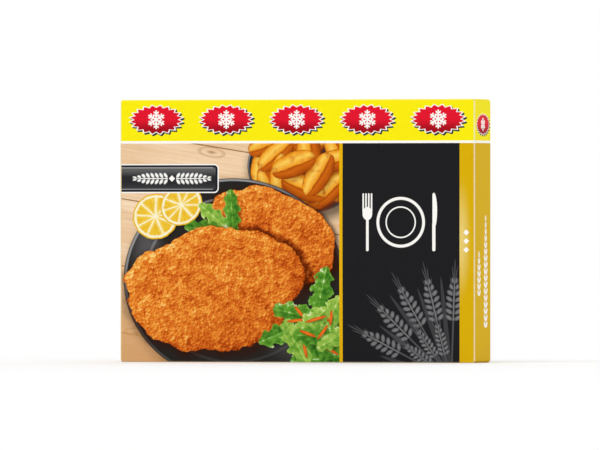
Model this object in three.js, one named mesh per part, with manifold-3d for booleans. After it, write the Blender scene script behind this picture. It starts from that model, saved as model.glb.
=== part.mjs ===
// A shut folding carton for frozen breaded cutlets, standing on its long narrow side.
// One printed board blank is wrapped into a flat tube and glued shut at both ends, and it is full,
// so the carton is one solid. Units are millimetres, +X along the front, +Y to the back, +Z up.
// The origin is at the centre of the footprint, on the surface that the carton stands on.

import * as THREE from "three";
import { mergeVertices } from "three/addons/utils/BufferGeometryUtils.js";
import Module from "manifold-3d";

const wasm = await Module();
wasm.setup();

// Driving dimensions
const width = 258; // front panel, from end flap to end flap
const height = 182;
const depth = 38; // between the front and back panels at their creases
const board = 0.45; // thickness of the cartonboard
const creaseRadius = 0.9; // outer radius of a folded crease
const bulge = 0.8; // how far the filled pack pushes out the middle of the front and back panels
const flapInset = 1.2; // the end flaps are this much shorter than the panels, at top and bottom
const outerFlapGap = 1.6; // from the free edge of the outer end flap to the back panel
const flapCorner = { along: 9, in: 2.2 }; // slanted cut at the outer flap's free corners
const blueprint = { creaseSteps: 5, panelRows: 14, panelColumns: 20 }; // facets

// Worked-out places
const dustFlapFace = width / 2 - 2 * board; // outer face of the innermost, folded-in dust flaps
const innerFlapFace = width / 2 - board; // outer face of the flap from the back panel
const outerFlapFace = width / 2; // outer face of the flap from the front panel
const halfDepth = depth / 2;
const panelHalfLength = dustFlapFace - creaseRadius; // flat part of the front and back panels
const panelHalfHeight = height / 2 - creaseRadius;

const Point = THREE.Vector2;

// An outline whose corners are given as { at: [x, y], round: radius }, in order and anticlockwise.
// Straight runs longer than maxRun are split into equal steps, so that they can be bent later.
function roundedOutline(corners, maxRun = Infinity) {
  const points = [];
  const count = corners.length;
  for (let i = 0; i < count; i++) {
    const here = new Point(...corners[i].at);
    const toLast = new Point(...corners[(i + count - 1) % count].at).sub(here).normalize();
    const toNext = new Point(...corners[(i + 1) % count].at).sub(here).normalize();
    const radius = corners[i].round ?? 0;
    if (radius === 0) {
      points.push(here);
      continue;
    }
    const centre = here.clone().addScaledVector(toLast, radius).addScaledVector(toNext, radius);
    const start = here.clone().addScaledVector(toLast, radius).sub(centre).angle();
    for (let s = 0; s <= blueprint.creaseSteps; s++) {
      const angle = start + ((Math.PI / 2) * s) / blueprint.creaseSteps;
      points.push(new Point(centre.x + radius * Math.cos(angle), centre.y + radius * Math.sin(angle)));
    }
  }
  return points.flatMap((from, i) => {
    const to = points[(i + 1) % points.length];
    const steps = Math.max(1, Math.ceil(from.distanceTo(to) / maxRun));
    return Array.from({ length: steps }, (_, s) => from.clone().lerp(to, s / steps));
  });
}

// Turns that lay an extruded outline along each axis: outline (a, b) pushed along c becomes (x, y, z).
const alongX = new THREE.Matrix4().makeBasis(
  new THREE.Vector3(0, 1, 0),
  new THREE.Vector3(0, 0, 1),
  new THREE.Vector3(1, 0, 0),
); // (y, z) outline, pushed along +X
const alongY = new THREE.Matrix4().makeBasis(
  new THREE.Vector3(1, 0, 0),
  new THREE.Vector3(0, 0, 1),
  new THREE.Vector3(0, -1, 0),
); // (x, z) outline, pushed along -Y
const alongZ = new THREE.Matrix4(); // (x, y) outline, pushed along +Z

function extruded(outline, from, length, turn, steps = 1) {
  const geometry = new THREE.ExtrudeGeometry(new THREE.Shape(outline), {
    depth: length,
    steps,
    bevelEnabled: false,
  });
  return geometry.translate(0, 0, from).applyMatrix4(turn);
}

// A closed three.js geometry as a solid that can be joined and cut.
function solidOf(geometry) {
  const bare = geometry.index ? geometry.toNonIndexed() : geometry.clone();
  bare.deleteAttribute("normal");
  bare.deleteAttribute("uv");
  const merged = mergeVertices(bare, 1e-4);
  return new wasm.Manifold(
    new wasm.Mesh({
      numProp: 3,
      vertProperties: merged.attributes.position.array,
      triVerts: new Uint32Array(merged.index.array),
    }),
  );
}

function geometryOf(solid) {
  const mesh = solid.getMesh();
  const geometry = new THREE.BufferGeometry();
  geometry.setAttribute("position", new THREE.BufferAttribute(mesh.vertProperties, 3));
  geometry.setIndex(new THREE.BufferAttribute(mesh.triVerts, 1));
  const flat = geometry.toNonIndexed();
  flat.computeVertexNormals();
  return flat;
}

// The front and back panels bow out between their four creases, most in the middle.
function bow(geometry) {
  const position = geometry.attributes.position;
  const across = (value, half) => Math.cos((Math.PI / 2) * Math.min(1, Math.abs(value) / half));
  for (let i = 0; i < position.count; i++) {
    const y = position.getY(i);
    if (Math.abs(y) < halfDepth - board / 2) continue;
    const x = across(position.getX(i), panelHalfLength);
    const z = across(position.getZ(i) - height / 2, panelHalfHeight);
    position.setY(i, y + Math.sign(y) * bulge * x * z);
  }
  return geometry;
}

// The tube of front, top, back and bottom panels, filled, out to its folded-in dust flaps.
function tube() {
  const r = creaseRadius;
  const seam = halfDepth - board; // the bottom panel folds up inside the back panel here
  const section = roundedOutline(
    [
      { at: [-halfDepth, height], round: r },
      { at: [-halfDepth, 0], round: r },
      { at: [seam, 0], round: r },
      { at: [seam, r + board] },
      { at: [halfDepth, r + board] }, // raw lower edge of the back panel
      { at: [halfDepth, height], round: r },
    ],
    height / blueprint.panelRows,
  );
  const wrapped = bow(
    extruded(section, -dustFlapFace, 2 * dustFlapFace, alongX, blueprint.panelColumns),
  );
  const elevation = roundedOutline([
    { at: [-dustFlapFace, 0], round: r },
    { at: [dustFlapFace, 0], round: r },
    { at: [dustFlapFace, height], round: r },
    { at: [-dustFlapFace, height], round: r },
  ]);
  const clear = halfDepth + 3 * bulge; // well outside the bowed panels
  const quarter = (side, end) => {
    const arc = [];
    for (let s = 0; s <= blueprint.creaseSteps; s++) {
      const angle = ((Math.PI / 2) * s) / blueprint.creaseSteps;
      const x = panelHalfLength + r * Math.cos(angle);
      const y = halfDepth - r + r * Math.sin(angle);
      arc.push(new Point(end * x, side * y));
    }
    arc.push(new Point(end * panelHalfLength, side * clear));
    return arc;
  };
  const plan = [
    ...quarter(1, 1),
    ...quarter(1, -1).reverse(),
    ...quarter(-1, -1),
    ...quarter(-1, 1).reverse(),
  ];
  return solidOf(wrapped)
    .intersect(solidOf(extruded(elevation, -clear, 2 * clear, alongY)))
    .intersect(solidOf(extruded(plan, -1, height + 2, alongZ)));
}

// The end flaps that hinge on the back panel, glued over the dust flaps.
function innerFlaps() {
  const low = flapInset;
  const high = height - flapInset;
  const frontEdge = -halfDepth + 2;
  const elevation = [
    new Point(frontEdge, low),
    new Point(halfDepth, low),
    new Point(halfDepth, high),
    new Point(frontEdge, high),
  ];
  const plan = roundedOutline([
    { at: [-innerFlapFace, frontEdge] },
    { at: [innerFlapFace, frontEdge] },
    { at: [innerFlapFace, halfDepth], round: creaseRadius },
    { at: [-innerFlapFace, halfDepth], round: creaseRadius },
  ]);
  return solidOf(extruded(elevation, -innerFlapFace, 2 * innerFlapFace, alongX)).intersect(
    solidOf(extruded(plan, 0, height, alongZ)),
  );
}

// The end flaps that hinge on the front panel and close each end over its full depth.
function outerFlaps() {
  const low = flapInset;
  const high = height - flapInset;
  const backEdge = halfDepth - outerFlapGap;
  const elevation = [
    new Point(-halfDepth, low),
    new Point(backEdge - flapCorner.along, low),
    new Point(backEdge, low + flapCorner.in),
    new Point(backEdge, high - flapCorner.in),
    new Point(backEdge - flapCorner.along, high),
    new Point(-halfDepth, high),
  ];
  const plan = roundedOutline([
    { at: [-outerFlapFace, -halfDepth], round: creaseRadius },
    { at: [outerFlapFace, -halfDepth], round: creaseRadius },
    { at: [outerFlapFace, backEdge] },
    { at: [-outerFlapFace, backEdge] },
  ]);
  return solidOf(extruded(elevation, -outerFlapFace, 2 * outerFlapFace, alongX)).intersect(
    solidOf(extruded(plan, 0, height, alongZ)),
  );
}

const printedBoard = new THREE.MeshStandardMaterial({
  name: "printed_board",
  color: 0xdbb00c,
  roughness: 0.45,
  metalness: 0,
});

const carton = new THREE.Mesh(
  geometryOf(tube().add(innerFlaps()).add(outerFlaps())),
  printedBoard,
);
carton.name = "carton";

const group = new THREE.Group();
group.name = "frozen_food_carton";
group.add(carton);

export default group;
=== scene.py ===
import math

import bmesh
import bpy
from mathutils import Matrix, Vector


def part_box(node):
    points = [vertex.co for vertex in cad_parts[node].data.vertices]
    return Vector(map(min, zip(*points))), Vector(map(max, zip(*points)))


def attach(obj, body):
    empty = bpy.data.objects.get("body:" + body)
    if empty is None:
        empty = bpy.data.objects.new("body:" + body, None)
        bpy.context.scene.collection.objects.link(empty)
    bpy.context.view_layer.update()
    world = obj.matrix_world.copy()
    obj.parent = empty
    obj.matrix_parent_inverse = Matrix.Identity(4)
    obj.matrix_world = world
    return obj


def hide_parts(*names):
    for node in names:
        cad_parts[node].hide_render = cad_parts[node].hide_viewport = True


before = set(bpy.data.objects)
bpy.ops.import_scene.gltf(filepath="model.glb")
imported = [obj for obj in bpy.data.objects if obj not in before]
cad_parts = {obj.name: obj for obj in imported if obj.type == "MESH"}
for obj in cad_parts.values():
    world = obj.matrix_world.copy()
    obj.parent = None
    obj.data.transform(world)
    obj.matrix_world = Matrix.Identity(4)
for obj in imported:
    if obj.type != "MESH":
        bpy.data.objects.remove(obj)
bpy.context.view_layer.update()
low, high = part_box("carton")
print("frame loaded")

mm = 0.001


# Camera, lights and floor

studio = {
    "aim": (-3.8 * mm, 0, 95.1 * mm),
    "azimuth": 18,  # degrees round to the right of the front panel
    "distance": 9.0,
    "lens": 778.7,
    "sensor": 36,
    "clipEnd": 200,
    "skyStrength": 0.46,
    "floorSize": 120.0,
    "floorColour": (0.97, 0.97, 0.97, 1),
    "floorRoughness": 0.9,
    "floorSpecular": 0.1,
}

lights = {  # distant and soft: tilt from overhead and turn in degrees, strength, softness in degrees
    "keyLight": (36, -22, 1.2, 50),
    "fillLight": (50, 62, 0.6, 80),
    "backLight": (55, 180, 0.80, 80),
}


def setCamera():
    turn = math.radians(studio["azimuth"])
    away = Vector((math.sin(turn), -math.cos(turn), 0)) * studio["distance"]
    bpy.ops.object.camera_add(location=Vector(studio["aim"]) + away, rotation=(math.radians(90), 0, turn))
    camera = bpy.context.active_object
    camera.name = "camera"
    camera.data.lens = studio["lens"]
    camera.data.sensor_width = studio["sensor"]
    camera.data.clip_end = studio["clipEnd"]
    bpy.context.scene.camera = camera


def setLights():
    for name, (tilt, turn, strength, softness) in lights.items():
        bpy.ops.object.light_add(type="SUN", rotation=(math.radians(tilt), 0, math.radians(turn)))
        lamp = bpy.context.active_object
        lamp.name = name
        lamp.data.energy = strength
        lamp.data.angle = math.radians(softness)
    world = bpy.data.worlds.new("paleSky")
    world.use_nodes = True
    tree = world.node_tree
    sky = tree.nodes["Background"]
    sky.inputs["Color"].default_value = (1, 1, 1, 1)
    sky.inputs["Strength"].default_value = studio["skyStrength"]
    backdrop = tree.nodes.new("ShaderNodeBackground")  # what the camera sees behind the carton
    backdrop.inputs["Color"].default_value = (1, 1, 1, 1)
    rays = tree.nodes.new("ShaderNodeLightPath")
    choice = tree.nodes.new("ShaderNodeMixShader")
    tree.links.new(rays.outputs["Is Camera Ray"], choice.inputs["Fac"])
    tree.links.new(sky.outputs[0], choice.inputs[1])
    tree.links.new(backdrop.outputs[0], choice.inputs[2])
    tree.links.new(choice.outputs[0], tree.nodes["World Output"].inputs["Surface"])
    bpy.context.scene.world = world
    bpy.context.scene.view_settings.view_transform = "Standard"


def layFloor():
    bpy.ops.mesh.primitive_plane_add(size=studio["floorSize"], location=(0, 0, 0))
    floor = bpy.context.active_object
    floor.name = "studioFloor"
    paint = bpy.data.materials.new("floorPaint")
    paint.use_nodes = True
    surface = paint.node_tree.nodes["Principled BSDF"]
    surface.inputs["Base Color"].default_value = studio["floorColour"]
    surface.inputs["Roughness"].default_value = studio["floorRoughness"]
    surface.inputs["Specular IOR Level"].default_value = studio["floorSpecular"]
    floor.data.materials.append(paint)


setCamera()
setLights()
layFloor()
print("studio ready")


# Sizes of the folded carton

carton = {
    "width": high.x - low.x,
    "height": high.z - low.z,
    "bulge": 0.8 * mm,  # of the front and back panels, at the middle
    "board": 0.45 * mm,
    "crease": 0.9 * mm,  # outer radius of a fold
    "creaseSteps": 6,
    "flat": 0.5 * mm,  # flat strip kept beside each fold, so that the fold's shading stays narrow
    "flapInset": 1.2 * mm,  # end flaps are this much shorter than the panels, at top and bottom
    "outerFlapGap": 1.6 * mm,  # from the outer flap's free edge to the back panel
    "innerFlapGap": 2 * mm,  # from the inner flap's free edge to the front panel
    "flapCorner": (9 * mm, 2.2 * mm),  # slanted cut at the outer flap's free corners
    "dustFlap": 62 * mm,  # length of the flaps folded in from the top and bottom
    "glueLap": 15 * mm,  # of the bottom panel, behind the back panel's raw edge
    "columns": 20,
    "rows": 14,
    "mergeWithin": 0.005 * mm,
    "smoothBelow": 35,  # degrees between faces
}
carton["depth"] = high.y - low.y - 2 * carton["bulge"]
crease = carton["crease"]
board = carton["board"]
top = carton["height"]
halfWidth = carton["width"] / 2
halfDepth = carton["depth"] / 2
innerEnd = halfWidth - board  # outer face of the end flap from the back panel
tubeEnd = halfWidth - 2 * board  # outer face of the dust flaps

fields = {  # where the print changes colour, on the front panel, from the middle and from the bottom
    "bandBottom": 153.35 * mm,
    "lineBottom": 151.65 * mm,
    "pictureRight": 31.13 * mm,
    "stripRight": 33.44 * mm,
    "blackRight": 118.0 * mm,
}


# Node helpers

drawing = {}  # the node tree being built and, on a print, the place on it and the colour laid so far


def newNode(kind):
    return drawing["tree"].nodes.new("ShaderNode" + kind)


def feed(socket, value):
    # links a socket to the one given, or sets it to the number, colour or vector given
    if isinstance(value, bpy.types.NodeSocket):
        drawing["tree"].links.new(value, socket)
    else:
        socket.default_value = value


def maths(operation, *values, kind="Math"):
    node = newNode(kind)
    node.operation = operation
    for socket, value in zip(node.inputs, values):
        feed(socket, value)
    return node.outputs[0]


def times(a, b):
    return maths("MULTIPLY", a, b)


def plus(a, b):
    return maths("ADD", a, b)


def larger(a, b):
    return maths("MAXIMUM", a, b)


def below(a, b):
    return maths("LESS_THAN", a, b)


def timesPlus(a, b, c):
    return maths("MULTIPLY_ADD", a, b, c)


def minus(a, b):
    return maths("SUBTRACT", a, b)


def unsigned(value):
    return maths("ABSOLUTE", value)


def ramp(value, start, end, least=0.0, most=1.0):
    # goes smoothly from least at start to most at end, which may be the smaller one
    node = newNode("MapRange")
    node.interpolation_type = "SMOOTHSTEP"
    node.clamp = False  # smooth steps never leave their range, and the extra clamp would cost a node
    for socket, given in zip(node.inputs, (value, start, end, least, most)):
        feed(socket, given)
    return node.outputs[0]


def blend(share, under, over):
    node = newNode("Mix")
    node.data_type = "RGBA"
    for index, value in ((0, share), (6, under), (7, over)):
        feed(node.inputs[index], value)
    return node.outputs[2]


def noise(place, scale, detail):
    node = newNode("TexNoise")
    feed(node.inputs["Vector"], place)
    node.inputs["Scale"].default_value = scale
    node.inputs["Detail"].default_value = detail
    return node.outputs[0]


def mapped(place, turn=(0, 0, 0), move=(0, 0, 0), scale=(1, 1, 1), kind="POINT"):
    node = newNode("Mapping")
    node.vector_type = kind
    for label, value in (("Vector", place), ("Location", move), ("Rotation", turn), ("Scale", scale)):
        feed(node.inputs[label], value)
    return node.outputs[0]


def apart(place):
    node = newNode("SeparateXYZ")
    feed(node.inputs[0], place)
    return node.outputs


def together(x, y):
    node = newNode("CombineXYZ")
    feed(node.inputs[0], x)
    feed(node.inputs[1], y)
    return node.outputs[0]


def colourSteps(value, stops):
    # a run of colours, as pairs of a place from 0 to 1 and an ink
    node = newNode("ValToRGB")
    steps = node.color_ramp.elements
    for place, _ in stops[1:-1]:
        steps.new(place)
    for step, (place, name) in zip(steps, stops):
        step.position = place
        step.color = ink(name)
    feed(node.inputs["Fac"], value)
    return node.outputs["Color"]


def distance(x, y):
    return maths("SQRT", timesPlus(x, x, times(y, y)))


def offMiddle(value, middle=0.5):
    return unsigned(minus(value, middle))


def newGroup(name, inputs, outputs):
    # inputs are names with their usual values, whose length tells number, vector or colour
    tree = drawing["tree"] = bpy.data.node_groups.new(name, "ShaderNodeTree")
    kinds = {3: "NodeSocketVector", 4: "NodeSocketColor"}
    for label, value in inputs.items():
        kind = kinds[len(value)] if isinstance(value, tuple) else "NodeSocketFloat"
        tree.interface.new_socket(label, in_out="INPUT", socket_type=kind).default_value = value
    for label, kind in outputs.items():
        tree.interface.new_socket(label, in_out="OUTPUT", socket_type=f"NodeSocket{kind}")
    return tree.nodes.new("NodeGroupInput").outputs


def closeGroup(**results):
    end = drawing["tree"].nodes.new("NodeGroupOutput")
    for label, value in results.items():
        feed(end.inputs[label], value)


def useGroup(name, **values):
    node = newNode("Group")
    node.node_tree = bpy.data.node_groups[name]
    for label, value in values.items():
        feed(node.inputs[label], value)
    return node.outputs


# Inks, as the shares of red, green and blue on a screen, from 0 to 255

inks = {
    "yellow": (252, 238, 19),
    "white": (255, 253, 248),
    "gold": (219, 176, 12),
    # the same gold ink, retinted a little lighter and yellower for the ends: painted light, for how light
    # falls on that side
    "endGoldPaintedLight": (221, 179, 10),
    "paleGold": (238, 214, 128),
    "stripGold": (231, 180, 16),
    "black": (33, 33, 35),
    "grey": (124, 124, 126),
    "darkGrey": (82, 82, 84),
    "bladeGrey": (64, 64, 66),
    "softGrey": (205, 205, 206),
    "red": (228, 26, 48),
    "darkRed": (160, 18, 30),
    "slate": (48, 56, 62),
    "labelFrame": (30, 34, 44),
    "labelLow": (62, 62, 64),
    "labelDark": (44, 44, 47),
    "labelGloss": (98, 98, 98),
    "labelLine": (158, 156, 152),
    "sprigShade": (200, 200, 200),
    "board": (240, 232, 216),
    "wood": (255, 231, 200),
    "darkWood": (222, 176, 124),
    "woodGap": (150, 106, 62),
    "dimWood": (206, 152, 92),
    "stoneware": (50, 48, 46),
    "stonewareRim": (40, 38, 36),
    "glint": (158, 158, 160),
    "shadow": (18, 14, 10),
    "warmShadow": (52, 20, 6),
    "potatoShadow": (124, 48, 5),
    "leaf": (122, 186, 62),
    "leafShade": (46, 108, 28),
    "paleLeaf": (182, 216, 96),
    "paleLeafShade": (98, 156, 50),
    "leafLight": (240, 246, 208),
    "carrot": (246, 124, 40),
    "carrotShade": (206, 74, 14),
    "crustDark": (128, 44, 6),
    "crustBrown": (190, 80, 18),
    "crust": (223, 118, 36),
    "crustGold": (245, 164, 62),
    "crustPale": (255, 218, 132),
    "lemonFlesh": (245, 208, 66),
    "lemonDeep": (232, 178, 28),
    "lemonJuice": (253, 233, 142),
    "lemonPith": (252, 245, 212),
    "lemonPeel": (240, 194, 36),
    "lemonEdge": (214, 156, 16),
    "potatoEdge": (118, 46, 9),
    "potatoDeep": (172, 76, 13),
    "potatoSkin": (208, 104, 19),
    "potatoPale": (243, 160, 38),
    "potatoLight": (254, 207, 90),
}


def ink(name):
    def linear(share):
        share /= 255
        return share / 12.92 if share <= 0.04045 else ((share + 0.055) / 1.055) ** 2.4

    return (*(linear(share) for share in inks[name]), 1)


# Printed shapes: each group lays one shape over the colour under it. Places are in millimetres.
# They work on plain numbers, in the order in which they are laid, which keeps large prints light.

anyInk = (1, 1, 1, 1)  # a group's usual value, as every print gives its own ink


def inked(colour, value, *layers):
    # lays inks over a colour: ink, value where it begins, value where it is full, and strength if below 1
    for tint, start, end, *strength in layers:
        colour = blend(ramp(value, start, end, 0.0, *strength), colour, ink(tint))
    return colour


def startField(name, **extra):
    # the frame that all shapes share: a place, turned and scaled so that the shape reaches out to 1
    inputs = {"under": anyInk, "x": 0.0, "y": 0.0, "centreX": 0.0, "centreY": 0.0}
    inputs.update(halfX=1.0, halfY=1.0, turn=0.0, **extra)
    given = newGroup(name, inputs, {"colour": "Color"})
    x = minus(given["x"], given["centreX"])
    y = minus(given["y"], given["centreY"])
    cosine, sine = (maths(part, given["turn"]) for part in ("COSINE", "SINE"))
    along = timesPlus(x, cosine, times(y, sine))
    aside = minus(times(y, cosine), times(x, sine))
    along = maths("DIVIDE", along, given["halfX"])
    return given, along, maths("DIVIDE", aside, given["halfY"])


def closeField(given, share, colour):
    closeGroup(colour=blend(share, given["under"], colour))


def makeOvalField():
    # a round or oval patch, with a soft edge where wanted
    given, x, y = startField("ovalField", ink=anyInk, rimInk=anyInk, soft=0.03, strength=1.0)
    radius = distance(x, y)
    body = blend(ramp(radius, 0.1, 1.0), given["ink"], given["rimInk"])
    inside = ramp(radius, 1.0, minus(1.0, given["soft"]))
    closeField(given, times(inside, given["strength"]), body)


def makeBarField():
    # a rounded rectangle, whose half sizes are reachX and reachY in millimetres
    given, x, y = startField("barField", ink=anyInk, reachX=1.0, reachY=1.0, round=0.0)
    over = []
    for part, reach in ((x, given["reachX"]), (y, given["reachY"])):
        straight = minus(reach, given["round"])
        over.append(larger(minus(unsigned(part), straight), 0.0))
    gap = minus(distance(*over), given["round"])
    closeField(given, ramp(gap, 0.12, -0.12), given["ink"])


def makeRingField():
    # an oval line, which may fade on the side away from the light at the upper left
    given, x, y = startField("ringField", ink=anyInk, width=0.05, oneSided=0.0, strength=1.0)
    gap = offMiddle(distance(x, y), 1.0)
    line = ramp(gap, given["width"], times(given["width"], 0.6))
    towards = timesPlus(x, -0.5, times(y, 0.86))
    dark = times(ramp(towards, 0.9, 0.1), given["oneSided"])
    share = times(line, minus(1.0, dark))
    closeField(given, times(share, given["strength"]), given["ink"])


cutletLook = {
    "shadow": {"start": 1.14, "end": 0.98, "slant": 0.045},
    "rim": (0.80, 1.0),
    "brink": (0.93, 1.0),
    "tones": {"side": 0.07, "rim": 0.16, "brink": -0.12},  # how much each of them lightens the crust
    "crust": [
        (0, "crustDark"), (0.25, "crustBrown"), (0.5, "crust"), (0.75, "crustGold"), (1, "crustPale"),
    ],
}


def makeCutletField():
    # a breaded cutlet seen from above, lit from the upper left, and the shadow round its uneven outline
    given, x, y = startField("cutletField", crumbs=0.5, outline=0.0, shade=0.8)
    start, end, slant = cutletLook["shadow"].values()
    tones = cutletLook["tones"]
    radius = plus(distance(x, y), given["outline"])
    side = timesPlus(x, -0.55, times(y, 0.83))  # 1 at the lit rim
    shadow = ramp(timesPlus(side, slant, radius), start, end)
    under = blend(times(shadow, given["shade"]), given["under"], ink("warmShadow"))
    rim = ramp(radius, *cutletLook["rim"])
    tone = timesPlus(side, tones["side"], given["crumbs"])
    tone = timesPlus(times(rim, side), tones["rim"], tone)
    tone = timesPlus(ramp(radius, *cutletLook["brink"]), tones["brink"], tone)
    body = colourSteps(tone, cutletLook["crust"])
    closeGroup(colour=blend(ramp(radius, 1.0, 0.985), under, body))


leafLook = {
    "ripples": {"count": 13.0, "uneven": 7.0, "depth": 0.22},
    "outline": {"uneven": 0.5, "width": 0.80},
    "veins": {"slant": -0.60, "count": 3.6, "strength": 0.45},
    "halves": (-0.15, 0.15, 0.22, 0.50),  # from the dark half to the lit one, and how light they are
    "light": {"frill": 2.2, "rim": 0.22, "veins": 0.38},  # how much each of them adds
    "pale": (0.75, 1.25),
}


def makeLeafField():
    # a crumpled, lobed leaf that points along its own first direction; frill is an uneven value
    given, x, y = startField("leafField", ink=anyInk, darkInk=anyInk, paleInk=anyInk, frill=0.0)
    frill, light, veining = given["frill"], leafLook["light"], leafLook["veins"]
    count, uneven, depth = leafLook["ripples"].values()
    across = unsigned(y)
    belly = maths("SQRT", larger(minus(1.0, times(x, x)), 0.0))
    ripple = times(maths("SINE", timesPlus(frill, uneven, times(x, count))), depth)
    edge = timesPlus(ripple, belly, belly)
    edge = timesPlus(frill, leafLook["outline"]["uneven"], edge)
    gap = timesPlus(edge, -leafLook["outline"]["width"], across)
    inside = times(ramp(gap, 0.04, -0.04), ramp(unsigned(x), 1.0, 0.97))
    along = timesPlus(across, veining["slant"], x)
    veins = maths("FRACT", timesPlus(along, veining["count"], frill))
    veins = ramp(offMiddle(veins), 0.11, 0.02, 0.0, veining["strength"])
    veins = larger(veins, ramp(across, 0.09, 0.02))
    shade = ramp(y, *leafLook["halves"])
    shade = timesPlus(frill, light["frill"], shade)
    shade = timesPlus(ramp(gap, -0.22, 0.0), light["rim"], shade)
    shade = timesPlus(veins, light["veins"], shade)
    body = blend(shade, given["darkInk"], given["ink"])
    body = blend(ramp(shade, *leafLook["pale"]), body, given["paleInk"])
    closeField(given, inside, body)


lemonLook = {
    "parts": 9,
    "uneven": {"outline": 0.10, "walls": 0.06, "angles": 0.16},
    "streaks": {"count": 9.0, "scale": 1.6},
    "pulp": [("lemonDeep", 0.35, 0.65), ("lemonJuice", 0.40, 0.22)],
    "walls": [("lemonJuice", 0.12, 0.03, 0.6), ("lemonPith", 0.035, 0.015)],
    "rings": [
        ("lemonPith", 0.80, 0.85), ("lemonPith", 0.10, 0.06), ("lemonPeel", 0.90, 0.94),
        ("lemonEdge", 0.95, 1.0),
    ],
}


def makeCitrusField():
    # a round slice of lemon; pulp is an uneven value that also makes the parts uneven
    given, x, y = startField("citrusField", pulp=0.0)
    parts, uneven, streaking = lemonLook["parts"], lemonLook["uneven"], lemonLook["streaks"]
    radius = timesPlus(given["pulp"], uneven["outline"], distance(x, y))
    angle = maths("ARCTAN2", y, x)
    wobble = maths("SINE", times(angle, 2.0))
    around = timesPlus(angle, parts / math.tau, times(wobble, uneven["angles"]))
    toWall = times(minus(0.5, offMiddle(maths("FRACT", around))), math.tau / parts)
    toWall = timesPlus(given["pulp"], uneven["walls"], times(toWall, radius))
    streaks = noise(together(times(around, streaking["count"]), radius), streaking["scale"], 2)
    flesh = inked(ink("lemonFlesh"), streaks, *lemonLook["pulp"])
    cut = inked(flesh, toWall, *lemonLook["walls"])
    cut = inked(cut, radius, *lemonLook["rings"])
    closeField(given, ramp(radius, 1.0, 0.97), cut)


wedgeLook = {
    "faces": [  # from the dark edge of the skin, over the cut face, to the lit edge
        (0, "potatoEdge"), (0.08, "potatoDeep"), (0.30, "potatoSkin"), (0.40, "potatoDeep"),
        (0.46, "potatoPale"), (0.70, "potatoLight"), (0.90, "potatoPale"), (1, "potatoDeep"),
    ],
    "browning": {"faces": 0.14, "tips": 1.4},
    "tips": ("potatoDeep", 0.45, 1.20, 0.85),
    "patches": ("potatoSkin", 0.02, 0.24, 0.60),
    "taper": 0.45,
}


def makeWedgeField():
    # a fried potato wedge: a pale cut face above its browned skin; browning is an uneven value
    given, x, y = startField("wedgeField", browning=0.0)
    browning, share = given["browning"], wedgeLook["browning"]
    taper = maths("POWER", larger(minus(1.0, times(x, x)), 0.001), wedgeLook["taper"])
    across = maths("DIVIDE", y, taper)  # from 1 at the lit edge to -1 at the dark one
    place = timesPlus(browning, share["faces"], timesPlus(across, 0.5, 0.5))
    faces = colourSteps(place, wedgeLook["faces"])
    tips = timesPlus(browning, share["tips"], times(x, x))
    body = inked(faces, tips, wedgeLook["tips"])
    body = inked(body, browning, wedgeLook["patches"])
    ends = ramp(unsigned(x), 1.0, 0.97)
    closeField(given, times(ramp(unsigned(across), 1.0, 0.92), ends), body)


strokeLook = {
    "waves": [(1.9, 1.1), (5.1, 2.1)],  # two waves that leave gaps where both are low: shift by row, pitch
    "gaps": (-1.35, -1.15),
    "strokes": (2.6, 0.15, 0.45, 0.4, 1.0),  # pitch, range, least and most ink
    "weight": (5.3, 0.25),  # pitch and amount of its unevenness
    "ends": 2.4,  # how the rows' lengths follow one another
}


def makeLinesField():
    # rows of short uneven strokes that fill a rectangle, as small print looks from afar; no lettering
    given, x, y = startField("linesField", ink=anyInk, rows=6.0, ragged=0.35, weight=0.21)
    row = times(timesPlus(y, -0.5, 0.5), given["rows"])
    number = maths("FLOOR", row)
    swing = maths("SINE", times(number, strokeLook["ends"]))
    length = timesPlus(swing, 0.5, 0.5)
    end = minus(1.0, times(length, given["ragged"]))
    word = 0.0
    for shift, pitch in strokeLook["waves"]:
        wave = timesPlus(number, shift, times(given["x"], pitch))
        word = plus(maths("SINE", wave), word)
    height = offMiddle(maths("FRACT", row))
    pitch, uneven = strokeLook["weight"]
    weight = times(maths("SINE", timesPlus(given["x"], pitch, number)), given["weight"])
    weight = timesPlus(weight, uneven, given["weight"])
    mask = times(ramp(word, *strokeLook["gaps"]), below(x, end))
    mask = times(mask, below(height, weight))
    pitch, *inking = strokeLook["strokes"]
    mask = times(mask, ramp(unsigned(maths("SINE", times(given["x"], pitch))), *inking))
    for part in (x, y):
        mask = times(mask, below(unsigned(part), 1.0))
    closeField(given, mask, given["ink"])


def makeEarField():
    # an ear or sprig: pairs of slanted grains up a stem, thinner towards the tip
    given, x, y = startField("earField", ink=anyInk, darkInk=anyInk, pairs=7.0)
    across = maths("DIVIDE", unsigned(x), ramp(y, 0.1, 1.05, 1.0, 0.35))
    step = times(timesPlus(y, 0.5, 0.5), given["pairs"])
    step = minus(maths("FRACT", step), 0.5)
    lean = timesPlus(step, -0.5, minus(across, 0.5))
    grain = distance(maths("DIVIDE", lean, 0.36), maths("DIVIDE", step, 0.50))
    stem = ramp(across, 0.10, 0.05)
    inside = larger(ramp(grain, 1.0, 0.88), stem)
    inside = times(inside, ramp(unsigned(y), 1.0, 0.99))
    shade = larger(ramp(grain, 0.95, 0.35), stem)
    closeField(given, inside, blend(shade, given["darkInk"], given["ink"]))


burstLook = {
    "points": 20,
    "depth": 0.17,  # of the notches between the points
    "darkSide": (0.10, 0.05),  # how far the two dark copies below are moved
    "shade": ("darkRed", 0.1, -0.75),
    "edge": ("white", 1.0, 0.97),
    "face": (0.93, 0.90),
    "crystal": (0.32, 0.61),  # share of the burst that the snow crystal takes
}
flakeLook = {
    "arm": (0.10, 0.07),  # half width of a line, with its soft edge
    "branch": (0.09, 0.06),
    "branches": (0.36, 0.64),  # where they leave the arm
    "branchEnd": (0.30, 0.27),
}


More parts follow.
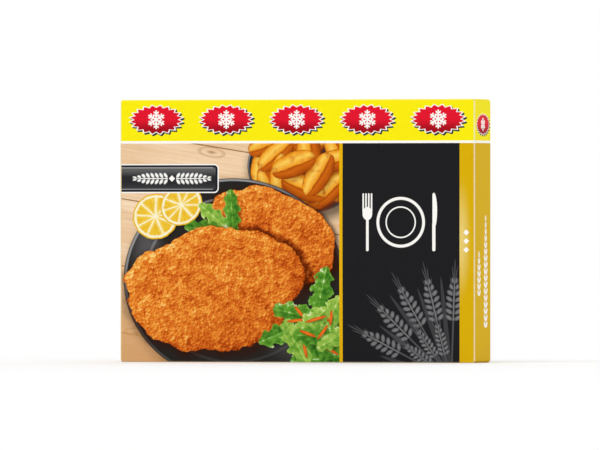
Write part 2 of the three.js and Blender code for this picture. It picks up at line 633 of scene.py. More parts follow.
def makeBurstShape():
    # how far out a place is in a pointed star, from 0 to 1 at its outline
    given = newGroup("burstShape", {"x": 0.0, "y": 0.0}, {"reach": "Float"})
    around = times(maths("ARCTAN2", given["y"], given["x"]), burstLook["points"] / math.pi)
    outline = timesPlus(maths("PINGPONG", around, 1.0), burstLook["depth"], 1 - burstLook["depth"])
    closeGroup(reach=maths("DIVIDE", distance(given["x"], given["y"]), outline))


def makeFlakeField():
    # a six-armed snow crystal
    given, x, y = startField("flakeField", ink=anyInk)
    radius = distance(x, y)
    third = math.pi / 3
    angle = unsigned(maths("WRAP", maths("ARCTAN2", x, y), third / 2, -third / 2))
    along = times(radius, maths("COSINE", angle))
    aside = times(radius, maths("SINE", angle))
    crystal = times(ramp(aside, *flakeLook["arm"]), ramp(along, 1.0, 0.97))
    for start in flakeLook["branches"]:
        out = times(minus(along, start), math.sin(third))
        off = unsigned(timesPlus(aside, -math.cos(third), out))
        branch = times(ramp(off, *flakeLook["branch"]), ramp(aside, *flakeLook["branchEnd"]))
        crystal = larger(crystal, branch)
    closeField(given, crystal, given["ink"])


def makeBurstField():
    # red starbursts with a dark side, a pale edge and a snow crystal, repeated sideways at a pitch
    given, x, y = startField("burstField", pitch=1000.0)
    beyond = maths("DIVIDE", times(given["pitch"], 0.5), given["halfX"])
    x = maths("WRAP", x, beyond, times(beyond, -1.0))
    colour = given["under"]
    for slip in burstLook["darkSide"]:
        lower = useGroup("burstShape", x=minus(x, slip / 2), y=plus(y, slip))["reach"]
        colour = inked(colour, lower, ("slate", 1.0, 0.97))
    reach = useGroup("burstShape", x=x, y=y)["reach"]
    red = inked(ink("red"), y, burstLook["shade"])
    colour = inked(colour, reach, burstLook["edge"])
    colour = blend(ramp(reach, *burstLook["face"]), colour, red)
    wide, tall = burstLook["crystal"]
    crystal = useGroup("flakeField", under=colour, x=x, y=y, halfX=wide, halfY=tall, ink=ink("white"))
    closeGroup(colour=crystal["colour"])


cardboard = {
    "foldEdge": (-0.05 * mm, 0.30 * mm),  # where a fold's cracks begin and where they are full
    "levelFolds": 0.2,  # folds at the top and bottom crack far less
    "cracks": (700.0, 0.30, 0.62, 0.45, 0.68),  # scale of the noise, its range, and how strong they are
    "mottle": (160.0, 0.2, 0.8, 0.025, 0.0),  # scale, range, and how dark the ink gets
    "shine": (0.3, 0.7, 0.36, 0.44),  # range of the mottle, and roughness
    "crackedRoughness": 0.35,
    "relief": {"waves": 45.0, "fibres": 2200.0, "fibreHeight": 0.12, "crackHeight": 0.5},
}


def makeBoardFinish():
    # varnished cartonboard: mottled ink, faint fibres, and pale cracks along the folds
    given = newGroup(
        "boardFinish",
        {"ink": anyInk, "place": (0, 0, 0)},
        {"colour": "Color", "roughness": "Float", "height": "Float"},
    )
    middle = maths("SUBTRACT", given["place"], (0, 0, top / 2), kind="VectorMath")
    corner = (halfWidth - crease, halfDepth - crease, top / 2 - crease)
    over = maths("ABSOLUTE", middle, kind="VectorMath")
    over = maths("SUBTRACT", over, corner, kind="VectorMath")
    x, y, z = (ramp(part, *cardboard["foldEdge"]) for part in apart(over))
    level = times(larger(x, y), z)
    foldLine = larger(times(x, y), times(level, cardboard["levelFolds"]))
    scale, *cracking = cardboard["cracks"]
    flecks = noise(given["place"], scale, 3)
    cracks = times(foldLine, ramp(flecks, *cracking))
    scale, *darkening = cardboard["mottle"]
    mottle = noise(given["place"], scale, 3)
    colour = blend(ramp(mottle, *darkening), given["ink"], (0, 0, 0, 1))
    colour = blend(cracks, colour, ink("board"))
    relief = cardboard["relief"]
    fibres = noise(given["place"], relief["fibres"], 2)
    waves = noise(given["place"], relief["waves"], 2)
    height = timesPlus(fibres, relief["fibreHeight"], waves)
    height = timesPlus(times(foldLine, flecks), relief["crackHeight"], height)
    roughness = ramp(mottle, *cardboard["shine"])
    roughness = timesPlus(cracks, cardboard["crackedRoughness"], roughness)
    closeGroup(colour=colour, roughness=roughness, height=height)


for makeShape in (
    makeOvalField, makeBarField, makeRingField, makeCutletField, makeLeafField, makeCitrusField,
    makeWedgeField, makeLinesField, makeEarField, makeBurstShape, makeFlakeField, makeBurstField,
    makeBoardFinish,
):
    makeShape()
print("printed shapes ready")


# Prints: one material for each field of the carton

varnish = {"specular": 0.012, "bumpHeight": 0.06 * mm, "bumpStrength": 0.5}

facing = {  # turns, in degrees, that lay each side of the carton flat as it is read
    "front": (-90, 0, 0),
    "back": (-90, 180, 0),
    "right": (-90, -90, 0),
    "left": (-90, 90, 0),
    "level": (0, 0, 0),
}

prints = {}


def startPrint(name, side="front", under="gold"):
    # begins a material in one ink; places on it are in millimetres, as that side is read
    paper = bpy.data.materials.new(name)
    paper.use_nodes = True
    drawing.update(tree=paper.node_tree, colour=ink(under))
    prints[name] = paper
    where = newNode("TexCoord").outputs["Object"]
    turn = [math.radians(part) for part in facing[side]]
    drawing["place"] = mapped(where, turn=turn, scale=(1 / mm, 1 / mm, 1 / mm))
    drawing["spot"] = apart(drawing["place"])


def finishPrint():
    tree = drawing["tree"]
    where = tree.nodes["Texture Coordinate"].outputs["Object"]
    finish = useGroup("boardFinish", ink=drawing["colour"], place=where)
    bump = newNode("Bump")
    bump.inputs["Distance"].default_value = varnish["bumpHeight"]
    bump.inputs["Strength"].default_value = varnish["bumpStrength"]
    feed(bump.inputs["Height"], finish["height"])
    surface = tree.nodes["Principled BSDF"]
    feed(surface.inputs["Base Color"], finish["colour"])
    feed(surface.inputs["Roughness"], finish["roughness"])
    feed(surface.inputs["Normal"], bump.outputs["Normal"])
    surface.inputs["Specular IOR Level"].default_value = varnish["specular"]


def lay(shape, at, half=(1, 1), turn=0, **values):
    # puts one printed shape on what is laid so far, with its angle in degrees
    x, y, _ = drawing["spot"]
    for label, value in values.items():
        if isinstance(value, str):
            values[label] = ink(value)
    drawing["colour"] = useGroup(
        shape, under=drawing["colour"], x=x, y=y, centreX=at[0], centreY=at[1],
        halfX=half[0], halfY=half[1], turn=math.radians(turn), **values,
    )["colour"]


def layBar(at, reach, tint, round=0.2, turn=0):
    lay("barField", at, turn=turn, ink=tint, reachX=reach[0], reachY=reach[1], round=round)


def layOval(at, half, tint, rim=None, turn=0, **values):
    lay("ovalField", at, half, turn, ink=tint, rimInk=rim or tint, **values)


def laySprig(at, half, pairs, turn=0, tint="white", shade="white"):
    lay("earField", at, half, turn, ink=tint, darkInk=shade, pairs=pairs)


def shifted(at, x, y):
    return at[0] + x, at[1] + y


bursts = {"pitch": 51.3, "up": 168.2, "half": (20.8, 10.8), "endHalf": (16.4, 8.0), "endUp": 164.6}


def makeBandPrint(name, side):
    startPrint(name, side, "yellow")
    lay("burstField", (0, 0 if side == "level" else bursts["up"]), bursts["half"], pitch=bursts["pitch"])
    finishPrint()


def makeEndBandPrint(name, side):
    startPrint(name, side, "yellow")
    lay("burstField", (0, bursts["endUp"]), bursts["endHalf"])
    finishPrint()


def makePlainPrint(name, tint):
    startPrint(name, under=tint)
    finishPrint()


goldBand = {
    "sheen": {"at": (119.2, 85), "half": (8, 46), "tint": "paleGold", "soft": 1.0, "strength": 0.85},
    "diamonds": [(122.8, up) for up in (78, 84, 90)],
    "diamond": 1.45,
}


def makeGoldPrint():
    startPrint("goldPrint")
    layOval(**goldBand["sheen"])
    size = goldBand["diamond"]
    for at in goldBand["diamonds"]:
        layBar(at, (size, size), "white", turn=45)
    finishPrint()


endSprigs = [  # middle, half width and half length, pairs of leaves
    ((6.3, 63), (4.6, 39), 17),
    ((-9.2, 61.5), (4.0, 15.5), 7),
]


def makeEndGoldPrint(name, side):
    # the ends take the gold retinted for their light: painted light, not a different ink
    startPrint(name, side, "endGoldPaintedLight")
    for at, half, pairs in endSprigs:
        laySprig(at, half, pairs)
    finishPrint()


signs = {  # shapes with their middle, half size and ink, and for bars the corners' radius and the angle
    "fork": [
        *[("bar", (tine, 33.5), (0.55, 6.5), "white", 0.5) for tine in (-3, -1, 1, 3)],
        ("oval", (0, 26), (3.55, 4.6), "white"),
        ("bar", (0, 12), (0.95, 12), "white", 0.9),
    ],
    "knife": [
        ("oval", (0, 28), (2.4, 12.5), "white"),
        ("bar", (-2.6, 28), (1.6, 13), "black"),
        ("bar", (0, 10), (1.15, 10), "white", 1.1),
    ],
    "pan": [
        ("bar", (-4, -4.5), (9.5, 3.4), "white", 2.4),
        ("bar", (10.5, -2.4), (5.6, 0.9), "white", 0.8),
        ("bar", (-4, -1.3), (9.6, 0.35), "black"),
        *[("bar", (steam, 5), (0.65, 3.2), "white", 0.6, -14) for steam in (-9, -4, 1)],
    ],
    "oven": [
        ("bar", (0, 0), (10, 10), "white", 2),
        ("bar", (0, 0), (8.9, 8.9), "black", 2),
        ("bar", (0, -2.4), (6.4, 4.6), "white", 1),
        ("bar", (0, -2.4), (5.5, 3.7), "black", 1),
        *[("oval", (knob, 5.6), (1.3, 1.3), "white") for knob in (-5, 0, 5)],
    ],
}


def laySign(name, at):
    for shape, middle, half, tint, *corners in signs[name]:
        layShape = layOval if shape == "oval" else layBar
        layShape(shifted(at, *middle), half, tint, *corners)


tableSign = {  # a place setting in white lines
    "rings": [((75.6, 97), 16.5, 0.075), ((75.6, 97), 10.5, 0.055)],  # middle, radius, share of it as line
    "cutlery": {"fork": (51.5, 77), "knife": (99.5, 77)},
}

wheat = {  # a fan of ears from one root, which lies below the panel's corner
    "root": (112, -12),
    "blades": [(72, 56), (54, 66), (37, 76), (21, 70), (6, 74)],  # lean from upright in degrees, length
    "bladeWidth": 1.7,
    "ears": [  # lean, length of the stem and of the ear, half width of the ear
        (63, 42, 30, 6.4), (46, 42, 31, 6.4), (30, 43, 31, 6.4), (14, 42, 30, 6.4), (-2, 41, 30, 6.4),
        (54, 19, 22, 4.6), (35, 20, 22, 4.6), (15, 18, 22, 4.6),
    ],
    "pairs": 7,
    "stemWidth": 0.6,
    "awns": [(0.9, 0), (0.75, 7), (0.75, -7), (0.5, 12), (0.5, -12)],  # share of the ear below it, lean
    "awn": (0.42, 8.5),  # half width and half length
}


def away(start, lean, reach):
    angle = math.radians(lean)
    return shifted(start, -reach * math.sin(angle), reach * math.cos(angle))


def layWheat():
    root = wheat["root"]
    for lean, length in wheat["blades"]:
        half = (wheat["bladeWidth"], length / 2)
        layOval(away(root, lean, length / 2), half, "bladeGrey", turn=lean, soft=0.15)
    for lean, stem, ear, width in wheat["ears"]:
        layBar(away(root, lean, stem / 2), (wheat["stemWidth"], stem / 2), "darkGrey", turn=lean)
        for start, slant in wheat["awns"]:
            slant += lean
            middle = away(away(root, lean, stem + ear * start), slant, wheat["awn"][1])
            layOval(middle, wheat["awn"], "darkGrey", turn=slant, soft=0.4)
        middle = away(root, lean, stem + ear / 2)
        laySprig(middle, (width, ear / 2), wheat["pairs"], lean, "grey", "darkGrey")


def makeBlackPrint():
    startPrint("blackPrint", under="black")
    layWheat()
    for at, radius, width in tableSign["rings"]:
        lay("ringField", at, (radius, radius), ink="white", width=width)
    for name, at in tableSign["cutlery"].items():
        laySign(name, at)
    finishPrint()


# The serving picture: a plate of cutlets on a wooden table, seen from straight above

planks = {
    "turn": 9,  # degrees
    "width": 46,
    "ownTone": 0.35,  # how much darker one plank may be than another
    "grain": [((100, 10, 1), 0.55), ((62, 1.4, 1), 0.35)],  # stretch and strength, broad and fine
    "gap": ("woodGap", 0.485, 0.498),
    "knots": [((-62, 145.5), (6.0, 1.9)), ((-117, 20), (5.5, 1.8))],
    "knotRing": {"reach": (1.5, 1.7), "width": 0.22, "strength": 0.28},
    "dim": ("dimWood", 130.0, -10.0, 0.85),  # from there down to there, and how strong
}

meal = {
    "bowl": ((7, 136), (43, 33)),
    "plate": ((-46, 57), (81, 71)),
    "rims": [(0.975, 0.012, 0.9), (0.80, 0.018, 0.45)],  # share of the dish, line width, strength
    "sheens": [((-0.78, 0.30), (0.20, 0.62), 0.22), ((0.62, -0.66), (0.40, 0.22), 0.14)],
    "wedges": [  # middle, half length and width, angle
        ((-25, 137), (14, 8), 74), ((-21, 151), (15, 8), 20), ((28, 150), (15, 8), 112),
        ((4, 152), (16, 8), -6), ((-19, 122), (15, 8), 118), ((31, 125), (14, 8), 84),
        ((-6, 114), (15, 8), -14), ((13, 113), (15, 8), 14), ((25, 120), (15, 8), 44),
        ((-15, 144), (16, 8), 40), ((9, 146), (16, 9), 96), ((26, 139), (15, 8), 16),
        ((-11, 128), (17, 9), 82), ((5, 121), (17, 9), -22), ((16, 130), (17, 9), 58),
        ((-2, 137), (17, 9), 20),
    ],
    "wedgeShadow": (1.12, 1.3),  # share of the wedge's length and width
    "slices": [((-103, 101), (17, 16), 12), ((-84, 109), (16, 14), 31)],
    "backCutlet": {"at": (-16, 88), "half": (49, 30), "turn": -24, "shade": 0.85},
    "frontCutlet": {"at": (-60, 50), "half": (65, 43), "turn": 9, "shade": 0.6},
    "beside": (1.15, 0.99),  # where the front cutlet's shade on the back one begins and is full
    "browner": (-0.42, 0.04),  # the back cutlet's tone, in that shade and everywhere
    "frill": (0.26, 4),  # scale and detail of the unevenness of leaves and lemon
    "browning": (0.22, 4),  # of the potato wedges
    "waves": (0.04, 3, 0.42),  # of the cutlets' outlines, with their strength
    "jags": (0.45, 2, 0.032),
    "backLeaves": [  # middle, half length and width, angle, kind
        ((-58, 99), (17, 7), 140, "paleLeaf"), ((-66, 92), (16, 7), 172, "leaf"),
        ((-47, 104), (16, 7), 95, "leaf"),
    ],
    "lowLeaves": [
        ((28, 17), (17, 9), 88, "leaf"), ((12, 2), (17, 8), 5, "leaf"), ((18, 48), (19, 9), 78, "leaf"),
        ((2, 33), (20, 9), -12, "leaf"), ((24, 30), (18, 9), 64, "paleLeaf"),
        ((-12, 20), (17, 8), -158, "leaf"), ((0, 13), (19, 9), -62, "paleLeaf"),
        ((20, 9), (18, 8), -24, "leaf"),
    ],
    "topLeaves": [
        ((10, 26), (17, 9), 44, "paleLeaf"), ((14, 18), (17, 8), -4, "leaf"),
        ((26, 16), (13, 7), 30, "paleLeaf"),
    ],
    "lowCarrots": [  # middle, half length, angle
        ((3, 21), 7, 66), ((0, 29), 8, 6), ((6, 9), 7, -78), ((2, 35), 6, 130), ((24, 9), 8, -30),
        ((20, 33), 7, -50),
    ],
    "topCarrots": [((14, 30), 9, 16), ((19, 21), 7, 52), ((8, 20), 7, -20), ((25, 31), 6, 84)],
    "carrotWidths": (1.2, 1.6),  # half width of a strip and of its shadow
}


def layPlanks():
    # long grain along the planks, each of its own tone, with dark gaps between
    place = drawing["place"]
    turn = math.radians(planks["turn"])
    row = maths("DIVIDE", apart(mapped(place, turn=(0, 0, turn)))[1], planks["width"])
    number = maths("FLOOR", row)
    own = newNode("TexWhiteNoise")
    own.noise_dimensions = "1D"
    feed(own.inputs["W"], number)
    colour = blend(times(own.outputs["Value"], planks["ownTone"]), ink("wood"), ink("darkWood"))
    for stretch, strength in planks["grain"]:
        along = mapped(place, turn=(0, 0, -turn), scale=stretch, kind="TEXTURE")
        share = times(ramp(noise(along, 1.0, 3), 0.35, 0.72), strength)
        colour = blend(share, colour, ink("darkWood"))
    drawing["colour"] = inked(colour, offMiddle(maths("FRACT", row)), planks["gap"])
    reach, width, strength = planks["knotRing"].values()
    for at, half in planks["knots"]:
        layOval(at, half, "woodGap", "darkWood", -planks["turn"], soft=0.9, strength=0.7)
        around = (half[0] * reach[0], half[1] * reach[1])
        lay("ringField", at, around, -planks["turn"], ink="woodGap", width=width, strength=strength)
    drawing["colour"] = inked(drawing["colour"], drawing["spot"][1], planks["dim"])


shadows = {  # shift away from the light at the upper left, strength, softness, ink
    "dish": ((2.5, -3), 0.75, 0.24, "shadow"),
    "slice": ((2.5, -3), 0.5, 0.3, "shadow"),
    "wedge": ((1.5, -2), 0.9, 0.7, "potatoShadow"),
    "leaf": ((1.5, -2), 0.62, 0.6, "shadow"),
    "carrot": ((0.9, -1.2), 0.45, 0.6, "shadow"),
}


def layShadow(kind, at, half, turn=0):
    shift, strength, soft, tint = shadows[kind]
    layOval(shifted(at, *shift), half, tint, turn=turn, soft=soft, strength=strength)


def layDish(dish, rims):
    at, half = dish
    layShadow("dish", at, shifted(half, 8, 8))
    layOval(at, half, "stoneware", "stonewareRim", soft=0.015)
    for shift, size, strength in meal["sheens"]:
        middle = shifted(at, shift[0] * half[0], shift[1] * half[1])
        layOval(middle, (half[0] * size[0], half[1] * size[1]), "glint", soft=1.0, strength=strength)
    for share, width, strength in rims:
        reach = (half[0] * share, half[1] * share)
        lay("ringField", at, reach, ink="glint", width=width, oneSided=0.85, strength=strength)


def layWedges(browning):
    for at, half, turn in meal["wedges"]:
        long, wide = meal["wedgeShadow"]
        layShadow("wedge", at, (half[0] * long, half[1] * wide), turn)
        lay("wedgeField", at, half, turn, browning=browning)


def layLeaves(leaves, frill):
    for at, half, turn, kind in leaves:
        layShadow("leaf", at, half, turn)
        lay("leafField", at, half, turn, ink=kind, darkInk=kind + "Shade", paleInk="leafLight", frill=frill)


def layCarrots(strips):
    for at, long, turn in strips:
        wide, shadow = meal["carrotWidths"]
        layShadow("carrot", at, (long, shadow), turn)
        layOval(at, (long, wide), "carrot", "carrotShade", turn, soft=0.2)


crumb = {  # a breadcrumb coating, in scales and strengths
    "lumps": (0.14, 1.6),
    "grains": [(0.55, -0.55), (1.1, -0.30)],
    "light": (0.5, -0.6, 0),  # the way down from each place, as the light comes from the upper left
    "contrast": 0.57,
    "grainTones": [(0.55, 0.23), (0.30, 0.17)],
    "patches": [(0.045, 0.50), (0.16, 0.60)],
}


def cells(place, scale):
    turned = mapped(place, turn=(0, 0, 7 * scale))  # each scale lies askew, so that no rows show
    node = newNode("TexVoronoi")
    node.voronoi_dimensions = "2D"
    node.inputs["Scale"].default_value = scale
    feed(node.inputs["Vector"], turned)
    return node.outputs


def crumbRelief(place):
    # round grains of two sizes on uneven lumps
    scale, strength = crumb["lumps"]
    height = times(noise(place, scale, 2), strength)
    for scale, strength in crumb["grains"]:
        height = timesPlus(cells(place, scale)["Distance"], strength, height)
    return height


def crumbTone(place):
    # how light the coating is, with each grain and each patch browned in its own way
    lower = mapped(place, move=crumb["light"])
    light = minus(crumbRelief(place), crumbRelief(lower))
    tone = timesPlus(light, crumb["contrast"], 0.50)
    for scale, strength in crumb["grainTones"]:
        own = apart(cells(place, scale)["Color"])[0]
        tone = timesPlus(minus(own, 0.5), strength, tone)
    for scale, strength in crumb["patches"]:
        tone = timesPlus(minus(noise(place, scale, 2), 0.5), strength, tone)
    return tone


def besideCutlet(cutlet, outline):
    # 1 under a cutlet and close to it, and 0 from a few millimetres away
    at, half, turn, _ = cutlet.values()
    own = mapped(drawing["place"], (0, 0, math.radians(turn)), (*at, 0), (*half, 1), "TEXTURE")
    x, y, _ = apart(own)
    return ramp(plus(distance(x, y), outline), *meal["beside"])


def unevenness(scale, detail):
    return minus(noise(drawing["place"], scale, detail), 0.5)


def makePicturePrint():
    startPrint("picturePrint")
    frill = unevenness(*meal["frill"])
    browning = unevenness(*meal["browning"])
    crumbs = crumbTone(drawing["place"])
    *waves, wave = meal["waves"]
    *jags, jag = meal["jags"]
    outline = times(unevenness(*waves), wave)
    outline = timesPlus(unevenness(*jags), jag, outline)
    layPlanks()
    layDish(meal["bowl"], meal["rims"][:1])
    layWedges(browning)
    layDish(meal["plate"], meal["rims"])
    for at, half, turn in meal["slices"]:
        layShadow("slice", at, half)
        lay("citrusField", at, half, turn, pulp=frill)
    shaded, everywhere = meal["browner"]
    dim = besideCutlet(meal["frontCutlet"], outline)
    browner = timesPlus(dim, shaded, minus(crumbs, everywhere))
    lay("cutletField", crumbs=browner, outline=outline, **meal["backCutlet"])
    layLeaves(meal["backLeaves"], frill)
    lay("cutletField", crumbs=crumbs, outline=outline, **meal["frontCutlet"])
    layLeaves(meal["lowLeaves"], frill)
    layCarrots(meal["lowCarrots"])
    layLeaves(meal["topLeaves"], frill)
    layCarrots(meal["topCarrots"])
    layLabel()
    finishPrint()


label = {  # a dark bevelled plate with white sprigs, open to the panel's left edge
    "middle": (-102.85, 127.35),
    "reach": (46.15, 10.05),
    "outline": 0.8,
    "frame": 1.5,
    "round": 3.4,
    "leastRound": 1.4,
    "gloss": [("labelDark", 119.35, 125.35), ("labelGloss", 127.85, 134.35)],  # heights on the panel
    "lines": [(1, 0.42), (-1, 0.30)],  # upper and lower, half thickness
    "sprigs": {"middle": (-91, 127.35), "apart": 16, "half": (4.4, 13), "pairs": 8},
}


def layLabel():
    at, reach = label["middle"], label["reach"]
    step, edge = label["outline"], label["outline"] + label["frame"]
    glossy = inked(ink("labelLow"), drawing["spot"][1], *label["gloss"])
    for inset, tint in ((0, "white"), (step, "labelFrame"), (edge, glossy)):
        corner = max(label["round"] - inset, label["leastRound"])
        layBar(at, shifted(reach, -inset, -inset), tint, corner)
    for side, thick in label["lines"]:
        line = (at[0] - 2, at[1] + side * (reach[1] - edge - 0.3))
        layBar(line, (reach[0] - edge, thick), "labelLine", 0.3)
    middle, gap, half, pairs = label["sprigs"].values()
    for side in (-1, 1):
        laySprig(shifted(middle, side * gap, 0), half, pairs, -90 * side, shade="sprigShade")
    layBar(middle, (1.6, 1.6), "white", turn=45)


# The back, with cooking hints as signs and rows of strokes

backPanel = {
    "panels": [((-49, 77), (69, 63), "white"), ((73, 77), (45, 63), "black")],
    "round": 3.0,
    "paragraphs": [  # middle, half size, number of rows
        ((-84, 110.5), (28, 15.5), 12), ((-84, 64.5), (28, 19.5), 15), ((-84, 26), (28, 7.5), 6),
        ((-16, 26), (28, 7.5), 6),
    ],
    "heading": {"half": (11, 1.3), "look": {"ragged": 0.2, "weight": 0.32}},
    "table": {"at": (-16, 84), "half": (28, 45), "rows": 9, "line": 0.3},
    "columns": [(-0.48, 0.40, 0.5), (0.32, 0.16, 0.3), (0.77, 0.16, 0.3)],  # middle, reach, raggedness
    "columnWeight": 0.08,
    "rules": (0.1, 0.55),
    "hints": {"pan": (50, 118), "oven": (50, 78), "frost": (50, 38)},
    "hintText": {"right": 40, "half": (21, 9), "rows": 7, "ragged": 0.5},
}


def layLines(at, half, rows, tint, **values):
    lay("linesField", at, half, ink=tint, rows=rows, **values)


def layTable():
    (x, y), (wide, tall), rows, line = backPanel["table"].values()
    layBar((x, y), (wide, tall), "grey")
    layBar((x, y), (wide - line, tall - line), "white")
    layBar((x, y + tall * (1 - 1 / rows)), (wide - line, tall / rows - line), "gold")
    for row in range(1, rows):
        layBar((x, y + tall * (1 - 2 * row / rows)), (wide, line / 2), "grey")
    for rule in backPanel["rules"]:
        layBar((x + wide * rule, y), (line / 2, tall), "grey")
    for column, share, ragged in backPanel["columns"]:
        at = (x + wide * column, y - tall / rows)
        half = (wide * share, tall * (1 - 1 / rows))
        layLines(at, half, rows - 1, "black", ragged=ragged, weight=backPanel["columnWeight"])


def makeBackPrint():
    startPrint("backPrint", "back")
    for at, reach, tint in backPanel["panels"]:
        layBar(at, reach, tint, backPanel["round"])
    (wide, tall), look = backPanel["heading"].values()
    for at, half, rows in backPanel["paragraphs"]:
        layLines(at, half, rows, "darkGrey")
        layLines(shifted(at, wide - half[0], half[1] + 2 * tall), (wide, tall), 1, "black", **look)
    layTable()
    hints = backPanel["hints"]
    laySign("pan", hints["pan"])
    laySign("oven", hints["oven"])
    lay("flakeField", hints["frost"], (10, 10), ink="white")
    right, half, rows, ragged = backPanel["hintText"].values()
    for at in hints.values():
        layLines(shifted(at, right, 0), half, rows, "softGrey", ragged=ragged)
    finishPrint()


stampBox = {"at": (70, 0), "reach": (38, 9)}  # bare white place for a date, on the underside


def makeBottomPrint():
    startPrint("bottomPrint", "level")
    layBar(stampBox["at"], stampBox["reach"], "white")
    finishPrint()


makeBandPrint("bandPrint", "front")
makeBandPrint("backBandPrint", "back")
makeBandPrint("topPrint", "level")
makePlainPrint("linePrint", "white")
makePicturePrint()
makePlainPrint("stripPrint", "stripGold")
makeBlackPrint()
makeGoldPrint()
for side in ("right", "left"):
    makeEndBandPrint(side + "BandPrint", side)
    makeEndGoldPrint(side + "GoldPrint", side)
makeBackPrint()
makeBottomPrint()
makePlainPrint("rawBoard", "board")
print("prints ready")


# Modelling helpers

quarter = math.radians(90)


def deselectAll():
    for thing in bpy.context.selected_objects:
        thing.select_set(False)


def startBoard(name, size, place, turn):
    # a flat piece of board in its place, open for editing
    deselectAll()
    bpy.ops.mesh.primitive_plane_add(size=1, location=place, rotation=turn)
    sheet = bpy.context.active_object
    sheet.name = name
    sheet.scale = (size[0], size[1], 1)
    bpy.ops.object.transform_apply(location=True, rotation=True, scale=True)
    bpy.ops.object.mode_set(mode="EDIT")
    return sheet


def cutAcross(direction, places):
    # straight cuts through the whole sheet
    for place in places:
        bpy.ops.mesh.select_all(action="SELECT")
        bpy.ops.mesh.bisect(plane_co=Vector(direction) * place, plane_no=direction)


def pickEdges(sheet, test):
    # selects the edges with both ends where test, which is given a place, says so
    bpy.ops.mesh.select_mode(type="EDGE")
    bpy.ops.mesh.select_all(action="DESELECT")
    mesh = bmesh.from_edit_mesh(sheet.data)
    for edge in mesh.edges:
        edge.select_set(all(test(end.co) for end in edge.verts))
    bmesh.update_edit_mesh(sheet.data)


def pickFaces(sheet, test):
    bpy.ops.mesh.select_mode(type="FACE")
    bpy.ops.mesh.select_all(action="DESELECT")
    mesh = bmesh.from_edit_mesh(sheet.data)
    for face in mesh.faces:
        face.select_set(test(face.calc_center_median()))
    bmesh.update_edit_mesh(sheet.data)


slack = 0.01 * mm


def near(a, b):
    return abs(a - b) < slack


def between(value, start, end):
    return start - slack < value < end + slack


def fold(sheet, edge, pivot, axis):
    # rolls the edge round the pivot into a rounded quarter-turn crease
    pickEdges(sheet, edge)
    bpy.ops.mesh.spin(steps=carton["creaseSteps"], angle=quarter, center=pivot, axis=axis)


def grow(x=0.0, y=0.0, z=0.0):
    # lengthens the sheet from the edge that is still selected
    bpy.ops.mesh.extrude_region_move(TRANSFORM_OT_translate={"value": (x, y, z)})


def finishBoard(sheet, outside, pickInk, bowed):
    # outside is the way that the panel's printed face looks, and pickInk names a face's print
    bpy.ops.mesh.select_all(action="SELECT")
    bpy.ops.mesh.remove_doubles(threshold=carton["mergeWithin"])
    bpy.ops.mesh.normals_make_consistent(inside=False)
    mesh = bmesh.from_edit_mesh(sheet.data)
    middle = max(mesh.faces, key=lambda face: face.calc_area())
    if middle.normal.dot(Vector(outside)) < 0:
        bpy.ops.mesh.flip_normals()
    bpy.ops.object.mode_set(mode="OBJECT")
    wanted = [pickInk(face.center) for face in sheet.data.polygons]
    names = [*sorted(set(wanted)), "rawBoard"]
    for name in names:
        sheet.data.materials.append(prints[name])
    for face, name in zip(sheet.data.polygons, wanted):
        face.material_index = names.index(name)
    if bowed:
        bow(sheet)
    thickness = sheet.modifiers.new("boardThickness", "SOLIDIFY")
    thickness.thickness = board
    thickness.offset = -1
    thickness.use_even_offset = True
    thickness.material_offset = len(names)  # the inside and the cut edges take the last material
    thickness.material_offset_rim = len(names)
    bpy.ops.object.modifier_apply(modifier=thickness.name)
    bpy.ops.object.shade_smooth_by_angle(angle=math.radians(carton["smoothBelow"]))
    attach(sheet, "root")
    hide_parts("carton")


def bow(sheet):
    # the filled pack pushes its large panels out, most in the middle
    weights = sheet.vertex_groups.new(name="bowed")
    for corner in sheet.data.vertices:
        x = abs(corner.co.x) / (tubeEnd - crease)
        z = abs(corner.co.z - top / 2) / (top / 2 - crease)
        if near(abs(corner.co.y), halfDepth) and x < 1 and z < 1:
            share = math.cos(quarter * x) * math.cos(quarter * z)
            weights.add([corner.index], share, "REPLACE")
    push = sheet.modifiers.new("bulge", "DISPLACE")
    push.direction = "Y"
    push.mid_level = 0
    push.strength = math.copysign(carton["bulge"], sheet.data.vertices[0].co.y)
    push.vertex_group = weights.name
    bpy.ops.object.modifier_apply(modifier=push.name)


def spaced(count, reach, middle=0.0):
    # cuts that divide the stretch of that half length into equal parts
    return [middle + reach * (2 * step / count - 1) for step in range(1, count)]


def endInk(co):
    # which print covers a place on an end flap or its crease
    side = "right" if co.x > 0 else "left"
    if co.z > fields["bandBottom"]:
        return side + "BandPrint"
    return "linePrint" if co.z > fields["lineBottom"] else side + "GoldPrint"


def frontInk(co):
    if abs(co.x) > tubeEnd:
        return endInk(co)
    if co.z > fields["bandBottom"]:
        return "bandPrint"
    if co.z > fields["lineBottom"]:
        return "linePrint"
    if co.z < crease / 3 or co.x > fields["blackRight"]:
        return "goldPrint"
    if co.x > fields["stripRight"]:
        return "blackPrint"
    return "stripPrint" if co.x > fields["pictureRight"] else "picturePrint"


def backInk(co):
    if abs(co.x) > innerEnd - crease:
        return endInk(co)
    if co.z > fields["bandBottom"]:
        return "backBandPrint"
    return "linePrint" if co.z > fields["lineBottom"] else "backPrint"


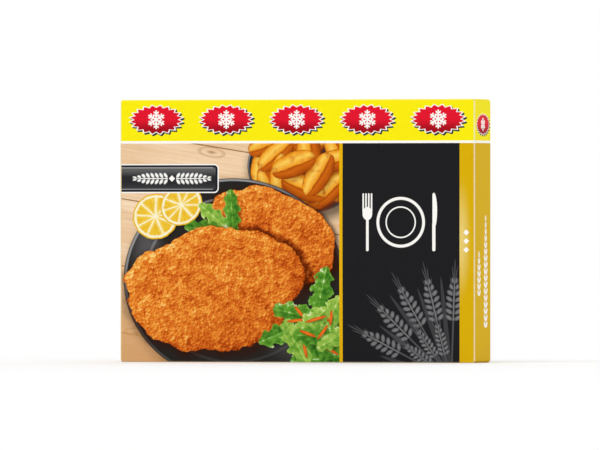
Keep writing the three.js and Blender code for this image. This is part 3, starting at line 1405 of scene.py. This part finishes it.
def makeFrontBoard():
    sheet = startBoard(
        "frontBoard", (2 * tubeEnd, top - 2 * crease), (0, -halfDepth, top / 2), (quarter, 0, 0)
    )
    inset = carton["flapInset"]
    beside = carton["flat"]
    cutAcross((1, 0, 0), spaced(carton["columns"], tubeEnd))
    cutAcross((1, 0, 0), [beside - tubeEnd, tubeEnd - beside])
    cutAcross((1, 0, 0), [fields[name] for name in ("pictureRight", "stripRight", "blackRight")])
    cutAcross((0, 0, 1), spaced(carton["rows"], top / 2 - crease, top / 2))
    cutAcross((0, 0, 1), [inset, crease + beside, top - crease - beside, top - inset])
    cutAcross((0, 0, 1), [fields["bandBottom"], fields["lineBottom"]])
    pivot = crease - halfDepth
    for z, axis in ((top - crease, 1), (crease, -1)):  # creases to the top and bottom panels
        fold(sheet, lambda co: near(co.z, z) and near(co.y, -halfDepth), (0, pivot, z), (axis, 0, 0))
        grow(y=beside)
    freeEdge = halfDepth - carton["outerFlapGap"]
    for side in (-1, 1):
        end = side * tubeEnd
        edge = lambda co: near(co.x, end) and between(co.z, inset, top - inset)
        fold(sheet, edge, (end, pivot, 0), (0, 0, -side))
        grow(y=beside)
        grow(y=freeEdge - pivot - beside)
    along, cut = carton["flapCorner"]
    for end in (-1, 1):
        pickFaces(sheet, lambda co: abs(co.x) > tubeEnd + board)
        bpy.ops.mesh.bisect(
            plane_co=(0, freeEdge, top / 2 + end * (top / 2 - inset - cut)),
            plane_no=(0, cut, end * along),
            clear_outer=True,
        )
    finishBoard(sheet, (0, -1, 0), frontInk, bowed=True)


def makeBackBoard():
    inset = carton["flapInset"]
    beside = carton["flat"]
    end, pivot = innerEnd - crease, halfDepth - crease
    rawEdge, upperEdge = crease + board, top - crease  # the raw one lies outside the glue lap
    middle = (rawEdge + upperEdge) / 2
    size = (2 * end, upperEdge - rawEdge)
    sheet = startBoard("backBoard", size, (0, halfDepth, middle), (quarter, 0, 0))
    cutAcross((1, 0, 0), spaced(carton["columns"], end))
    cutAcross((1, 0, 0), [beside - end, end - beside])
    cutAcross((0, 0, 1), spaced(carton["rows"], top / 2 - crease, top / 2))
    cutAcross((0, 0, 1), [upperEdge - beside, top - inset, rawEdge + beside])
    cutAcross((0, 0, 1), [fields["bandBottom"], fields["lineBottom"]])
    fold(sheet, lambda co: near(co.z, upperEdge), (0, pivot, upperEdge), (-1, 0, 0))
    grow(y=-beside)
    for side in (-1, 1):
        edge = lambda co: near(co.x, side * end) and between(co.z, rawEdge + beside, top - inset)
        fold(sheet, edge, (side * end, pivot, 0), (0, 0, side))
        grow(y=-beside)
        grow(y=-(2 * halfDepth - crease - carton["innerFlapGap"] - beside))
    finishBoard(sheet, (0, 1, 0), backInk, bowed=True)


def makeTopBoard():
    beside = carton["flat"]
    end = tubeEnd - crease
    sheet = startBoard("topBoard", (2 * end, 2 * (halfDepth - crease - beside)), (0, 0, top), (0, 0, 0))
    for side in (-1, 1):
        fold(sheet, lambda co: near(co.x, side * end), (side * end, 0, top - crease), (0, -side, 0))
        grow(z=-beside)
        grow(z=-carton["dustFlap"])
    finishBoard(sheet, (0, 0, 1), lambda co: "topPrint", bowed=False)


def makeBottomBoard():
    beside = carton["flat"]
    end = tubeEnd - crease
    front, back = crease + beside - halfDepth, halfDepth - board - crease
    sheet = startBoard("bottomBoard", (2 * end, back - front), (0, (front + back) / 2, 0), (0, 0, 0))
    for side in (-1, 1):
        fold(sheet, lambda co: near(co.x, side * end), (side * end, 0, crease), (0, side, 0))
        grow(z=beside)
        grow(z=carton["dustFlap"])
    fold(sheet, lambda co: near(co.y, back) and near(co.z, 0), (0, back, crease), (-1, 0, 0))
    grow(z=beside)
    grow(z=carton["glueLap"])
    finishBoard(sheet, (0, 0, -1), lambda co: "bottomPrint", bowed=False)


makeFrontBoard()
makeBackBoard()
makeTopBoard()
makeBottomBoard()
print("carton folded")
